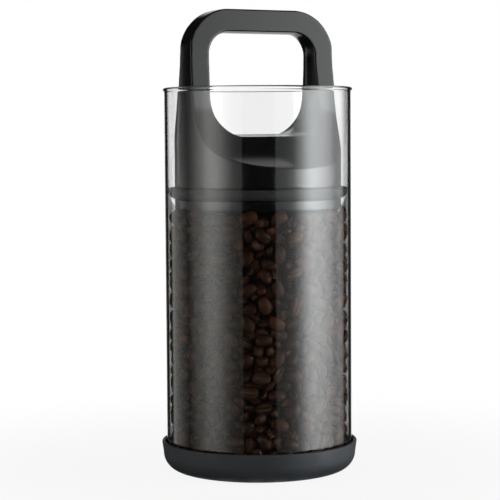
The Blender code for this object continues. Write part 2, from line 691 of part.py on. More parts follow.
def make_canister():
    """Build every piece and hang the moving ones on two empties."""
    boot_grey = material("soft_grey", (0.09, 0.10, 0.11), 0.75)
    clear_glass = material("clear_glass", (0.9, 0.95, 0.95), 0.02, transmission=1.0)
    bean_brown = material("roasted_bean", (0.045, 0.018, 0.01), 0.35)
    lid_black = material("satin_black", (0.03, 0.031, 0.034), 0.4)
    seal_black = material("seal_rubber", (0.02, 0.02, 0.021), 0.6)
    core_grey = material("core_plastic", (0.08, 0.082, 0.085), 0.5)
    steel = material("stainless_steel", (0.6, 0.6, 0.58), 0.3, metallic=1.0)

    make_boot(boot_grey)
    make_jar(clear_glass)
    make_beans(bean_brown)

    guide_places = circle_places(guide_circle, GUIDE_COUNT, GUIDE_TURN)
    cup_screw_places = circle_places(cup_screw_circle, CUP_SCREW_COUNT, CUP_SCREW_TURN)
    plunger = add_empty("plunger_slide", cup_base)
    handle = add_empty("handle_lift", handle_base, plunger)

    plunger_pieces = [
        make_cup(lid_black, cup_screw_places),
        make_filter(steel),
        make_core(core_grey, cup_screw_places, guide_places),
        make_seal(seal_black),
        make_gasket(seal_black),
        make_spring_cap(core_grey),
        make_spring(steel),
    ]
    for number, place in enumerate(cup_screw_places, 1):
        plunger_pieces.append(make_cup_screw(f"cup_screw_{number}", steel, place))
    for piece in plunger_pieces:
        attach(piece, plunger)

    handle_pieces = [make_handle_shell(lid_black, guide_places), make_stem(steel), make_disc(core_grey)]
    for number, place in enumerate(guide_places, 1):
        handle_pieces.append(make_guide_screw(f"guide_screw_{number}", steel, place))
    for piece in handle_pieces:
        attach(piece, handle)


for old in list(bpy.data.objects):
    bpy.data.objects.remove(old)
make_canister()
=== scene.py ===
"""Looks of the glass coffee canister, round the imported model. Metres, +Z up, handle front along -Y."""

import math

import bmesh
import bpy
import numpy as np
from mathutils import Matrix, Vector, kdtree


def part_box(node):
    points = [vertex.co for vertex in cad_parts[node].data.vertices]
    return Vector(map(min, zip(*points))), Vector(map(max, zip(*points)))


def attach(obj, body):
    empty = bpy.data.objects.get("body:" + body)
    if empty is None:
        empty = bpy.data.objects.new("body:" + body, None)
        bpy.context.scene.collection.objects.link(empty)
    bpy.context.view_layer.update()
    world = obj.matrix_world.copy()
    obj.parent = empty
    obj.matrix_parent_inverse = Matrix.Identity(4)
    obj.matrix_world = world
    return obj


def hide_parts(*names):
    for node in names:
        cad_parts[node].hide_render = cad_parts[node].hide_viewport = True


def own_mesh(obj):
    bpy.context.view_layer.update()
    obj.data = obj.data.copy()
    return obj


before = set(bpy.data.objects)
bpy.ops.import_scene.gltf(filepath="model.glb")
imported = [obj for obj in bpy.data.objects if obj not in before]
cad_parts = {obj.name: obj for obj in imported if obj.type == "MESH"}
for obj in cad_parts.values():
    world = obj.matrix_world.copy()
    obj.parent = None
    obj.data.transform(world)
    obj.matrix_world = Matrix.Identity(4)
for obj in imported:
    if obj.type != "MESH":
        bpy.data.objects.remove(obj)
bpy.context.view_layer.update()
MM = 0.001

# Camera, as found for the photograph
CAMERA_AZIMUTH = 27.8  # degrees to the left of the handle's front
CAMERA_DISTANCE = 1.0935
CAMERA_HEIGHT = 0.2061
CAMERA_PITCH = 3.736
CAMERA_YAW = -0.267
CAMERA_ROLL = -0.366
FOCAL_PIXELS = 1786.8
PHOTO_PIXELS = 500
SENSOR_WIDTH = 36.0

# Meshes
SIDES = 192
SHARP_ANGLE = 40  # degrees between faces, above which the edge shows
JAR_SHARP_ANGLE = 60
NO_SHARP_EDGE = 180
NOISE_RANGE = (0.3, 0.7)  # where most of a noise texture's values lie

# Jar
RIM_ROUND_STEPS = 12
HEEL_STEPS = 12
BEAD_STEPS = 8
JAR_BEAD = 0.9 * MM
JAR_BEAD_HEIGHT = 3.2 * MM
JAR_WALL = 1.7 * MM
JAR_HEEL = 9.0 * MM
JAR_FLOOR = 6.0 * MM
GLASS_DENSITY = 5.0
GLASS_TINT = (0.62, 0.68, 0.68, 1.0)
GLASS_SHADE = (0.93, 0.94, 0.94, 1.0)  # what the glass lets through of the lamps' light
GLASS_IOR = 1.49

# Boot
BOOT_INSET = 0.02 * MM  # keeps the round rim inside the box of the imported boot
BOOT_CORNER = 11.0 * MM
BOOT_FLARE = 0.9 * MM
BOOT_LIP = 2.0 * MM
BOOT_LIP_DEPTH = 6.0 * MM
BOOT_FLOOR = 4.0 * MM
BOOT_CORNER_STEPS = 16
BOOT_ROUND_STEPS = 10
PIECE_GAP = 0.3 * MM

# Plunger
CUP_FLOOR = 2.5 * MM
CUP_WALL = 2.5 * MM
CUP_CHAMFER = 2.9 * MM
EDGE_ROUND = 0.5 * MM
SEAL_TONGUE = 3.6 * MM
SEAL_LIP_EDGE = 0.7 * MM
SEAL_GROOVE_SHARE = 0.6  # of the cup's wall
SEAL_CURVE_STEPS = 12
SEAL_TIP_STEPS = 4

# Handle shell, heights above the shell's underside
HANDLE_RADIUS = 49.0 * MM
TAPER_START = 31.4 * MM
TAPER_END = 81.0 * MM
SOCKET_RADIUS = 44.4 * MM
SOCKET_DEPTH = 8.4 * MM
RECESS_RADIUS = 16.1 * MM
RECESS_DEPTH = 22.8 * MM
SLAB_TOP_HALF = 6.5 * MM
SLAB_FOOT_HALF = 7.9 * MM
SLAB_FOOT_HEIGHT = 73.4 * MM
SCOOP_EDGE_HEIGHT = 12.4 * MM
SCOOP_DROP = 19.5 * MM
SCOOP_DROP_LEAN = 3.5 * MM
SCOOP_RUN = 43.4 * MM
SCOOP_RUN_RISE = 9.5 * MM
ARCH_CORNER = 26.5 * MM
GRIP_HALF = 34.9 * MM
GRIP_BAR = 14.4 * MM
GRIP_CORNER = 13.0 * MM
GRIP_CROWN = 2.8 * MM
SADDLE_CROWN_SHARE = 0.5
GRIP_CROWN_REACH = 9.1 * MM
SADDLE_HEIGHT = 32.1 * MM
SADDLE_CORNER = (16.0 * MM, 23.0 * MM)
HANDLE_EDGE_ROUND = 0.5 * MM
HANDLE_CELL = 0.6 * MM
HANDLE_MARGIN_CELLS = 3
GRIP_STEPS = 24
SCOOP_STEPS = 48

# Beans
BEAN_HALF_LENGTH = 5.4 * MM
BEAN_HALF_WIDTH = 3.9 * MM
BEAN_BACK = 3.1 * MM
BEAN_BELLY = 1.6 * MM
BEAN_CREASE = 0.9 * MM
BEAN_CREASE_WIDTH = 0.55 * MM
BEAN_CREASE_FADE = 2.2  # how soon the crease reaches its full depth from the bean's ends
BEAN_BEND = 0.35 * MM
BEAN_END_POWER = 0.85
BEAN_BELLY_POWER = 0.55
# A ring is the degrees round a bean, where 270 is the middle of its flat side
BEAN_FINE_RING = (270, 278, 290, 312, 342, 12, 50, 90, 130, 168, 198, 228, 250, 262)
BEAN_FINE_ROWS = 11
BEAN_PLAIN_RING = (270, 300, 345, 40, 90, 140, 195, 240)
BEAN_PLAIN_ROWS = 7
BEAN_BALL = 3.1 * MM
BEAN_LAYERS = 3  # behind the outer beans, from the jar's floor up and pressed out to them
BEAN_TOP_ROWS = 3  # of the layers inside those, which show only when the plunger is out
BEAN_DEPTH_SHARE = 0.5  # how deep the outer beans lie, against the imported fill's corners
BEAN_RISE = 2.0 * MM  # the top beans stand up this much more beside the cup
BEAN_TOP_GAP = 6.0 * MM  # outer beans that are nearer than this to their ceiling are raised to it
BEAN_PITCH = 8.5 * MM
BEAN_ROW_SHARE = 0.93  # of the pitch, from row to row
BEAN_LAYER_STEP = 6.0 * MM
BEAN_SCATTER = 0.3  # of a place, at the start
BEAN_LEAN = 0.3  # how much beans lean in or out, at the start
BEAN_ROLL = 0.4  # how much they roll about their length, in radians
BEAN_BACK_OUT = 0.72  # the share that shows its back
BEAN_SIZES = (0.92, 1.08)
BEAN_DRIFT = 0.2 * MM  # outwards, in the first round
BEAN_OIL = (1.0, 0.62, 0.42, 1.0)  # the gloss is warm
BEAN_TONES = [(0.0, (0.007, 0.0018, 0.0008, 1.0)), (0.55, (0.022, 0.0055, 0.0018, 1.0)),
              (1.0, (0.07, 0.018, 0.005, 1.0))]
BEAN_TONE = (0.5, 0.2)  # mean and spread of the beans' places among the tones
BEAN_PATCH = 0.16  # how far a patch on a bean strays from the bean's own tone
BEAN_CHAFF = (0.1, 0.05, 0.026, 1.0)
BEAN_SEED = 7
PACK_ROUNDS = 70
PACK_REFRESH = 5
PACK_REACH = 2.6  # balls nearer than this many of their radii are looked at
PACK_PUSH = 0.3  # of the overlap, in one round
SHORTEST = 1e-6  # this and the next keep divisions finite
TINY = 1e-9

# The release valve's spring
SPRING_WIRE = 1.0 * MM
SPRING_TURNS = 4
SPRING_STEPS = 24
SPRING_WIRE_SIDES = 10
SPRING_SHARP_ANGLE = 60

# Light. Softbox stops are (degrees right of the camera, radiance), and a fall is (height, share of it)
SOFTBOX_REACH = 1.6
SOFTBOX_STEPS = 80
SOFTBOX_LEFT = [(-19, 0.24), (-26, 0.27), (-31, 0.36), (-39, 0.76), (-47, 1.32), (-55, 1.75), (-61, 1.85),
                (-66, 1.6), (-73, 1.03), (-83, 0.6), (-92, 0.2), (-96, 0.12)]
SOFTBOX_LOW = [(-96, 0.12), (-101, 0.18), (-110, 0.3), (-121, 0.42), (-128, 0.52), (-133, 0.52)]
SOFTBOX_RIGHT = [(21.2, 0.34), (29, 0.37), (36, 0.46), (44, 0.72), (52, 2.0), (56, 2.9), (60.5, 4.0),
                 (65, 4.9), (69, 5.4), (74, 5.4), (79, 5.0), (88, 4.0), (99, 2.55), (105, 1.65),
                 (111, 1.2), (118, 1.15), (123, 0.8), (129.5, 0.4)]
SOFTBOX_FALL = [(-0.45, 0.3), (-0.35, 0.48), (-0.27, 0.65), (-0.17, 0.84), (0.0, 1.0), (0.1, 1.05),
                (0.25, 1.1), (0.33, 0.64), (0.95, 0.64)]
SOFTBOX_LOW_FALL = [(-0.45, 0.4), (-0.3, 0.85), (0.0, 1.0), (0.06, 0.9), (0.1, 0.4), (0.27, 0.3)]
SOFTBOX_EDGE = [(-125, 0.0), (-129, 0.35), (-133, 0.75), (-139, 0.8), (-142, 0.0)]
SOFTBOX_EDGE_FALL = [(0.065, 0.0), (0.08, 1.0), (0.27, 1.0), (0.3, 0.3), (0.5, 0.3)]
SOFTBOX_LEFT_COLOUR = (0.98, 1.0, 0.96, 1.0)
SOFTBOX_RIGHT_COLOUR = (0.965, 0.995, 1.0, 1.0)
ROOM_LIGHT = 0.01
BACKDROP_SIDE = (0.14, 0.26)  # sine of the angle sideways from straight behind
BACKDROP_RISE = [(0.2, 1.0), (0.36, 0.5), (0.66, 0.44), (0.8, 0.0)]  # (sine of the height angle, radiance)
BACKDROP_END = (0.09, 0.14)  # through glass, the white fades between these sines of the angle to the right
BACKDROP_LOSS = 0.55
FLOOR_HALF = 4.0
FLOOR_GREY = (0.86, 0.86, 0.86, 1.0)
FLOOR_ROUGHNESS = 0.9
FLOOR_WHITE = (0.9, 1.0)  # near the object and away from it
FLOOR_FADE = (0.1, 0.35)
FLOOR_STRIP_HALF = 0.057  # through glass, the floor stays white on a strip straight behind
FLOOR_DIM_REACH = 2.6
FLOOR_DIM_SLOPE = (0.07, 0.16)  # metres beside the strip for each metre behind
FLOOR_LOSS = 0.9
LEAST_BEHIND = 0.01  # keeps the slope finite
WHITE = (1.0, 1.0, 1.0, 1.0)
ONE_BOUNCE = 0.5  # a ray's depth is above this after one bounce
TOP_LIGHT_POWER = 10.0
TOP_LIGHT_SIZE = 1.6
TOP_LIGHT_PLACE = (0.0, 0.4, 2.0)


def outer_radius(node):
    """The radius of a round CAD piece, at its corners."""
    return max(math.hypot(v.co.x, v.co.y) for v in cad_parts[node].data.vertices)


def add_object(name, data):
    """A new object in the scene."""
    obj = bpy.data.objects.new(name, data)
    bpy.context.scene.collection.objects.link(obj)
    return obj


def add_mesh(name, vertices, faces, look, sharp_angle=SHARP_ANGLE):
    """A shaded mesh object from plain lists."""
    mesh = bpy.data.meshes.new(name)
    mesh.from_pydata([tuple(v) for v in vertices], [], faces)
    mesh.validate()
    bm = bmesh.new()
    bm.from_mesh(mesh)
    bmesh.ops.recalc_face_normals(bm, faces=bm.faces)
    bm.to_mesh(mesh)
    bm.free()
    mesh.shade_smooth()
    mesh.set_sharp_from_angle(angle=math.radians(sharp_angle))
    mesh.materials.append(look)
    return add_object(name, mesh)


def arc(centre, radii, start, end, steps):
    """Points on an ellipse's arc, both ends included. Angles are in degrees."""
    angles = [math.radians(start + (end - start) * step / steps) for step in range(steps + 1)]
    return [(centre[0] + radii[0] * math.cos(a), centre[1] + radii[1] * math.sin(a)) for a in angles]


def bezier(start, start_handle, end_handle, end, steps):
    """Points on a cubic curve, both ends included."""
    points = []
    for step in range(steps + 1):
        t = step / steps
        weights = ((1 - t) ** 3, 3 * t * (1 - t) ** 2, 3 * t**2 * (1 - t), t**3)
        corners = (start, start_handle, end_handle, end)
        points.append(tuple(sum(w * c[axis] for w, c in zip(weights, corners)) for axis in (0, 1)))
    return points


def turned(name, outline, look, sharp_angle=SHARP_ANGLE):
    """The solid of a closed (radius, height) outline turned about the jar's axis."""
    vertices = []
    rings = []
    for radius, height in outline:
        count = 1 if radius == 0 else SIDES
        rings.append([len(vertices) + index for index in range(count)])
        for index in range(count):
            angle = math.tau * index / SIDES
            vertices.append((radius * math.cos(angle), radius * math.sin(angle), height))
    faces = []
    for lower, upper in zip(rings, rings[1:] + rings[:1]):
        if len(lower) == 1 and len(upper) == 1:
            continue
        for side in range(SIDES):
            after = (side + 1) % SIDES
            corners = [lower[side % len(lower)], lower[after % len(lower)]]
            corners += [upper[after % len(upper)], upper[side % len(upper)]]
            faces.append(list(dict.fromkeys(corners)))
    return add_mesh(name, vertices, faces, look, sharp_angle)


def math_node(tree, operation, first, second=0.0):
    """A math node's result. Each input is a number or what another node gives."""
    node = tree.nodes.new("ShaderNodeMath")
    node.operation = operation
    for socket, value in zip(node.inputs, (first, second)):
        if isinstance(value, float):
            socket.default_value = value
        else:
            tree.links.new(value, socket)
    return node.outputs["Value"]


def reach_along(tree, place, direction):
    """How far a place or a direction reaches along another direction."""
    dot = tree.nodes.new("ShaderNodeVectorMath")
    dot.operation = "DOT_PRODUCT"
    dot.inputs[1].default_value = direction
    tree.links.new(place, dot.inputs[0])
    return dot.outputs["Value"]


def map_range(tree, source, given, wanted, interpolation="LINEAR"):
    """Map a value from the range given to the range wanted, and no further."""
    node = tree.nodes.new("ShaderNodeMapRange")
    node.interpolation_type = interpolation
    for name, value in zip(("From Min", "From Max", "To Min", "To Max"), (*given, *wanted)):
        node.inputs[name].default_value = value
    tree.links.new(source, node.inputs["Value"])
    return node.outputs["Result"]


def mix_shaders(tree, share, first, second):
    """Two shaders mixed, the second one by share."""
    mix = tree.nodes.new("ShaderNodeMixShader")
    tree.links.new(share, mix.inputs["Fac"])
    tree.links.new(first, mix.inputs[1])
    tree.links.new(second, mix.inputs[2])
    return mix.outputs["Shader"]


def straight_through(tree):
    """1 for a ray that comes from the camera with nothing but clear surfaces on its way, else 0."""
    path = tree.nodes.new("ShaderNodeLightPath")
    bounces = math_node(tree, "ADD", path.outputs["Glossy Depth"], path.outputs["Diffuse Depth"])
    unbounced = math_node(tree, "LESS_THAN", bounces, ONE_BOUNCE)
    clear = math_node(tree, "MULTIPLY", path.outputs["Is Transmission Ray"], unbounced)
    return math_node(tree, "MAXIMUM", path.outputs["Is Camera Ray"], clear)


def set_stops(ramp, stops):
    """Give a new colour ramp its (position, colour) stops, in rising order."""
    for position, _ in stops[1:-1]:
        ramp.elements.new(position)
    for element, (position, colour) in zip(ramp.elements, stops):
        element.position = position
        element.color = colour


def backwards_and_right():
    """The level directions straight behind the object and to its right, as the camera sees it."""
    turn = math.radians(CAMERA_AZIMUTH)
    return (math.sin(turn), math.cos(turn), 0.0), (math.cos(turn), -math.sin(turn), 0.0)


class Look:
    """A material under construction: a Principled shader and the nodes that feed it."""

    def __init__(self, name, colour, roughness, **sockets):
        self.material = bpy.data.materials.new(name)
        self.material.use_nodes = True
        self.tree = self.material.node_tree
        self.shader = self.tree.nodes["Principled BSDF"]
        self.output = self.tree.nodes["Material Output"]
        self.shader.inputs["Base Color"].default_value = (*colour, 1.0)
        self.shader.inputs["Roughness"].default_value = roughness
        for socket, value in sockets.items():
            self.shader.inputs[socket.replace("_", " ")].default_value = value

    def node(self, kind, **inputs):
        made = self.tree.nodes.new(kind)
        for socket, value in inputs.items():
            made.inputs[socket.replace("_", " ")].default_value = value
        return made

    def link(self, source, target):
        self.tree.links.new(source, target)

    def place(self):
        return self.node("ShaderNodeTexCoord").outputs["Object"]

    def noise(self, scale, detail=4.0, stretch=(1.0, 1.0, 1.0)):
        """Noise over the piece's own coordinates. The scale counts features per metre."""
        mapping = self.node("ShaderNodeMapping", Scale=stretch)
        self.link(self.place(), mapping.inputs["Vector"])
        noise = self.node("ShaderNodeTexNoise", Scale=scale, Detail=detail)
        self.link(mapping.outputs["Vector"], noise.inputs["Vector"])
        return noise.outputs["Fac"]

    def spread(self, source, low, high):
        """Map a noise value to the range low to high."""
        return map_range(self.tree, source, NOISE_RANGE, (low, high))

    def colour_between(self, source, first, second):
        """The base colour goes from first to second with a noise value."""
        ramp = self.node("ShaderNodeValToRGB")
        for element, position, colour in zip(ramp.color_ramp.elements, NOISE_RANGE, (first, second)):
            element.position = position
            element.color = (*colour, 1.0)
        self.link(source, ramp.inputs["Fac"])
        self.link(ramp.outputs["Color"], self.shader.inputs["Base Color"])

    def rough(self, source, low, high):
        self.link(self.spread(source, low, high), self.shader.inputs["Roughness"])

    def bump(self, source, depth, strength=1.0):
        """Bump with a real depth in metres."""
        bump = self.node("ShaderNodeBump", Strength=strength, Distance=depth)
        self.link(source, bump.inputs["Height"])
        self.link(bump.outputs["Normal"], self.shader.inputs["Normal"])


def plastic(name, first, second, low, high, specular=0.5, grain=1500.0, depth=0.012 * MM):
    """Moulded plastic: faint colour drift, uneven sheen and a fine spark texture."""
    look = Look(name, first, low, Specular_IOR_Level=specular)
    look.colour_between(look.noise(25.0), first, second)
    look.rough(look.noise(60.0), low, high)
    look.bump(look.noise(grain, 2.0), depth)
    return look.material


def glass_look():
    """Clear glass that lets lamps through, greyer where the path in it is long."""
    look = Look("jar_glass", (1.0, 1.0, 1.0), 0.0, Transmission_Weight=1.0, IOR=GLASS_IOR)
    look.bump(look.noise(18.0, 1.0, (1.0, 1.0, 0.35)), 0.02 * MM)
    clear = look.node("ShaderNodeBsdfTransparent", Color=GLASS_SHADE)
    path = look.node("ShaderNodeLightPath")
    aside = math_node(look.tree, "MAXIMUM", path.outputs["Is Shadow Ray"], path.outputs["Is Diffuse Ray"])
    surface = mix_shaders(look.tree, aside, look.shader.outputs["BSDF"], clear.outputs["BSDF"])
    look.link(surface, look.output.inputs["Surface"])
    absorb = look.node("ShaderNodeVolumeAbsorption", Color=GLASS_TINT, Density=GLASS_DENSITY)
    look.link(absorb.outputs["Volume"], look.output.inputs["Volume"])
    return look.material


def bean_look():
    """Dark roast: a tone for each bean, with an oily sheen, fine wrinkles and paler chaff in the crease."""
    look = Look("roasted_bean", (0.05, 0.02, 0.01), 0.5, Specular_IOR_Level=0.6, Specular_Tint=BEAN_OIL)
    stored = look.node("ShaderNodeAttribute")
    stored.attribute_name = "bean"
    parts = look.node("ShaderNodeSeparateColor")
    look.link(stored.outputs["Color"], parts.inputs["Color"])
    tone = look.node("ShaderNodeValToRGB")
    set_stops(tone.color_ramp, BEAN_TONES)
    patch = look.spread(look.noise(260.0, 5.0), -BEAN_PATCH, BEAN_PATCH)
    look.link(math_node(look.tree, "ADD", parts.outputs["Red"], patch), tone.inputs["Fac"])
    chaff = look.node("ShaderNodeMix")
    chaff.data_type = "RGBA"
    chaff.inputs["B"].default_value = BEAN_CHAFF
    look.link(parts.outputs["Green"], chaff.inputs["Factor"])
    look.link(tone.outputs["Color"], chaff.inputs["A"])
    look.link(chaff.outputs["Result"], look.shader.inputs["Base Color"])
    look.rough(look.noise(420.0), 0.42, 0.6)
    look.bump(look.noise(900.0, 4.0), 0.12 * MM, 0.3)
    return look.material


def silicone(name, first, second):
    """Soft moulded silicone: matte, with a dusty bloom and a very fine grain."""
    look = Look(name, first, 0.6)
    look.colour_between(look.noise(30.0, 6.0), first, second)
    look.rough(look.noise(80.0), 0.5, 0.68)
    look.bump(look.noise(2600.0, 2.0), 0.015 * MM)
    return look.material


def steel_look():
    """Plain stainless steel with fine drawn lines."""
    look = Look("stainless", (0.6, 0.6, 0.58), 0.3, Metallic=1.0)
    look.colour_between(look.noise(300.0), (0.52, 0.52, 0.5), (0.66, 0.66, 0.64))
    look.rough(look.noise(800.0, 2.0, (1.0, 1.0, 8.0)), 0.22, 0.38)
    return look.material


def make_jar(look):
    """The glass, with a rounded rim bead and a rounded heel inside and out."""
    low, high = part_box("glass_jar")
    radius = outer_radius("glass_jar") - JAR_BEAD
    inner = radius - JAR_WALL
    floor_top = low.z + JAR_FLOOR
    inner_heel = JAR_HEEL - JAR_WALL
    rim_round = (JAR_WALL + JAR_BEAD) / 2
    bead_base = high.z - JAR_BEAD_HEIGHT
    rim = radius + JAR_BEAD
    outline = [(0, low.z)]
    outline += arc((radius - JAR_HEEL, low.z + JAR_HEEL), (JAR_HEEL, JAR_HEEL), -90, 0, HEEL_STEPS)
    outline += bezier((radius, bead_base), (radius, bead_base + rim_round),
                      (rim, bead_base + rim_round / 2), (rim, high.z - rim_round), BEAD_STEPS)
    rim_centre = (inner + rim_round, high.z - rim_round)
    outline += arc(rim_centre, (rim_round, rim_round), 0, 180, RIM_ROUND_STEPS)[1:]
    heel_centre = (inner - inner_heel, floor_top + inner_heel)
    outline += arc(heel_centre, (inner_heel, inner_heel), 0, -90, HEEL_STEPS)
    outline += [(0, floor_top)]
    jar = turned("jar_glass", outline, look, JAR_SHARP_ANGLE)
    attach(jar, "canister")
    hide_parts("glass_jar")


def make_boot(look):
    """The soft boot: straight wall, big rounded foot corner and a thin lip that stands off the glass."""
    low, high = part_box("base_boot")
    rim = min(high.x, high.y) - BOOT_INSET
    foot = rim - BOOT_FLARE
    lip_round = BOOT_LIP / 2
    seat = outer_radius("glass_jar") - JAR_BEAD + PIECE_GAP
    heel = JAR_HEEL + PIECE_GAP
    groove = high.z - BOOT_LIP_DEPTH
    outline = [(0, low.z)]
    corner = (foot - BOOT_CORNER, low.z + BOOT_CORNER)
    lip = rim - BOOT_LIP
    outline += arc(corner, (BOOT_CORNER, BOOT_CORNER), -90, 0, BOOT_CORNER_STEPS)
    outline += arc((rim - lip_round, high.z - lip_round), (lip_round, lip_round), 0, 180, BOOT_ROUND_STEPS)
    outline += [(lip, groove + EDGE_ROUND), (lip - EDGE_ROUND / 2, groove), (seat, groove)]
    outline += arc((seat - heel, low.z + BOOT_FLOOR + heel), (heel, heel), 0, -90, BOOT_ROUND_STEPS)
    outline += [(0, low.z + BOOT_FLOOR)]
    boot = turned("silicone_boot", outline, look)
    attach(boot, "canister")
    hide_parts("base_boot")


def make_seal(look):
    """The wiper seal, with its lip curved out and up to the glass."""
    low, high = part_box("wiper_seal")
    tip = outer_radius("wiper_seal")
    lid = outer_radius("piston_cup")
    foot = min(math.hypot(v.co.x, v.co.y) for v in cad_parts["wiper_seal"].data.vertices)
    groove = foot + CUP_WALL * SEAL_GROOVE_SHARE
    lip_base = high.z - SEAL_LIP_EDGE
    tip_round = EDGE_ROUND / 2
    outline = [(foot, low.z)]
    outline += arc((lid, lip_base), (tip - lid, lip_base - low.z), -90, 0, SEAL_CURVE_STEPS)
    outline += arc((tip - tip_round, high.z - tip_round), (tip_round, tip_round), 0, 90, SEAL_TIP_STEPS)
    outline += [(groove, high.z), (groove, low.z + SEAL_TONGUE), (foot, low.z + SEAL_TONGUE)]
    seal = turned("seal_lip", outline, look)
    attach(seal, "plunger")
    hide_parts("wiper_seal")


def signed_distance(outline, across, height):
    """Distance from each (across, height) point to a closed outline, negative inside."""
    points = np.array(outline)
    after = np.roll(points, -1, axis=0)
    nearest = np.full(across.shape, np.inf)
    inside = np.zeros(across.shape, bool)
    for (ax, az), (bx, bz) in zip(points, after):
        ex, ez = bx - ax, bz - az
        length = ex * ex + ez * ez
        if length == 0:
            continue
        share = np.clip(((across - ax) * ex + (height - az) * ez) / length, 0, 1)
        nearest = np.minimum(nearest, (across - ax - share * ex) ** 2 + (height - az - share * ez) ** 2)
        if az != bz:
            crosses = (az > height) != (bz > height)
            inside ^= crosses & (across < ex * (height - az) / (bz - az) + ax)
    return np.where(inside, -1, 1) * np.sqrt(nearest)


def rounded_and(first, second, radius):
    """The overlap of two solids, with the edge between them rounded."""
    outside = np.hypot(np.maximum(first + radius, 0), np.maximum(second + radius, 0))
    return np.minimum(np.maximum(first, second), -radius) + outside


def surface_of(field, origin, cell):
    """Vertices and quads where a sampled field is zero, with one vertex in each cell it crosses."""
    inside = field < 0
    corners = [(i, j, k) for i in (0, 1) for j in (0, 1) for k in (0, 1)]
    shape = tuple(n - 1 for n in field.shape)

    def corner(values, offset):
        return values[tuple(slice(o, o + n) for o, n in zip(offset, shape))]

    count = sum(corner(inside, c).astype(np.int8) for c in corners)
    crossed = (count > 0) & (count < 8)
    number = np.full(shape, -1, np.int64)
    number[crossed] = np.arange(crossed.sum())
    total = np.zeros((int(crossed.sum()), 3))
    hits = np.zeros((int(crossed.sum()), 1))
    for first in corners:
        for axis in range(3):
            if first[axis]:
                continue
            second = tuple(1 if a == axis else first[a] for a in range(3))
            low = corner(field, first)[crossed]
            high = corner(field, second)[crossed]
            cuts = (low < 0) != (high < 0)
            share = np.where(cuts, low / np.where(low == high, 1, low - high), 0)
            point = np.tile(np.array(first, float), (len(low), 1))
            point[:, axis] += share
            total += point * cuts[:, None]
            hits += cuts[:, None]
    cells = np.argwhere(crossed)
    vertices = origin + cell * (cells + total / hits)
    faces = []
    for axis in range(3):
        low = [slice(1, -1)] * 3
        low[axis] = slice(0, -1)
        high = list(low)
        high[axis] = slice(1, None)
        edge_low, edge_high = inside[tuple(low)], inside[tuple(high)]
        places = np.argwhere(edge_low != edge_high) + [0 if a == axis else 1 for a in range(3)]
        b, c = [a for a in range(3) if a != axis]
        quad = []
        for db, dc in ((-1, -1), (0, -1), (0, 0), (-1, 0)):
            at = places.copy()
            at[:, b] += db
            at[:, c] += dc
            quad.append(number[tuple(at.T)])
        faces.append(np.stack(quad, axis=1))
    return vertices, np.concatenate(faces)


def handle_field(low, high):
    """The handle shell as a sampled field of distances, and the field's first corner."""
    lid = outer_radius("handle_shell")
    margin = HANDLE_MARGIN_CELLS * HANDLE_CELL
    origin = np.array([-lid - margin, -lid - margin, low.z - margin])
    counts = [int((2 * lid + 2 * margin) / HANDLE_CELL) + 2] * 2
    counts.append(int((high.z - low.z + 2 * margin) / HANDLE_CELL) + 2)
    x, y, z = (origin[a] + HANDLE_CELL * np.arange(counts[a]) for a in range(3))

    radius = np.interp(z, [low.z + TAPER_START, low.z + TAPER_END], [lid, HANDLE_RADIUS])
    reach = np.hypot(x[:, None], y[None, :])
    body = reach[:, :, None] - radius[None, None, :]

    across, height = np.meshgrid(x, z, indexing="ij")
    corner_x = np.maximum(np.abs(across) - (radius[None, :] - ARCH_CORNER), 0)
    corner_z = np.maximum(height - (high.z - ARCH_CORNER), 0)
    arch = np.hypot(corner_x, corner_z) - ARCH_CORNER
    grip_low = (GRIP_HALF - SADDLE_CORNER[0], low.z + SADDLE_HEIGHT + SADDLE_CORNER[1])
    grip_high = (GRIP_HALF - GRIP_CORNER, high.z - GRIP_BAR - GRIP_CORNER)
    half = arc(grip_low, SADDLE_CORNER, -90, 0, GRIP_STEPS)
    half += arc(grip_high, (GRIP_CORNER, GRIP_CORNER), 0, 90, GRIP_STEPS)
    grip = signed_distance(half + [(-a, h) for a, h in reversed(half)], across, height)

    thick, tall = np.meshgrid(y, z, indexing="ij")
    edge = (lid, low.z + SCOOP_EDGE_HEIGHT)
    foot = (SLAB_FOOT_HALF, low.z + SLAB_FOOT_HEIGHT)
    curve = bezier(edge, (edge[0] - SCOOP_RUN, edge[1] + SCOOP_RUN_RISE),
                   (foot[0] + SCOOP_DROP_LEAN, foot[1] - SCOOP_DROP), foot, SCOOP_STEPS)
    beyond = 3 * margin
    side = (edge[0] + beyond, edge[1] - SCOOP_RUN_RISE / SCOOP_RUN * beyond)
    half = [(side[0], low.z - beyond), side] + curve
    half += [(SLAB_TOP_HALF, high.z), (SLAB_TOP_HALF, high.z + beyond)]
    scoop = signed_distance(half + [(-a, h) for a, h in reversed(half)], thick, tall)

    solid = rounded_and(body, scoop[None, :, :], HANDLE_EDGE_ROUND)
    solid = rounded_and(solid, arch[:, None, :], HANDLE_EDGE_ROUND)
    crown = GRIP_CROWN * (1 - np.exp(-((y / GRIP_CROWN_REACH) ** 2)))
    saddle = low.z + SADDLE_HEIGHT
    share = np.interp(z, [saddle, saddle + SADDLE_CORNER[1] / 2], [SADDLE_CROWN_SHARE, 1.0])
    solid = rounded_and(solid, crown[None, :, None] * share - grip[:, None, :], HANDLE_EDGE_ROUND)
    solid = rounded_and(solid, (low.z - z)[None, None, :], EDGE_ROUND)
    socket = np.maximum(reach[:, :, None] - SOCKET_RADIUS, (z - low.z - SOCKET_DEPTH)[None, None, :])
    recess = np.maximum(reach[:, :, None] - RECESS_RADIUS, (z - low.z - RECESS_DEPTH)[None, None, :])
    return np.maximum(solid, -np.minimum(socket, recess)), origin


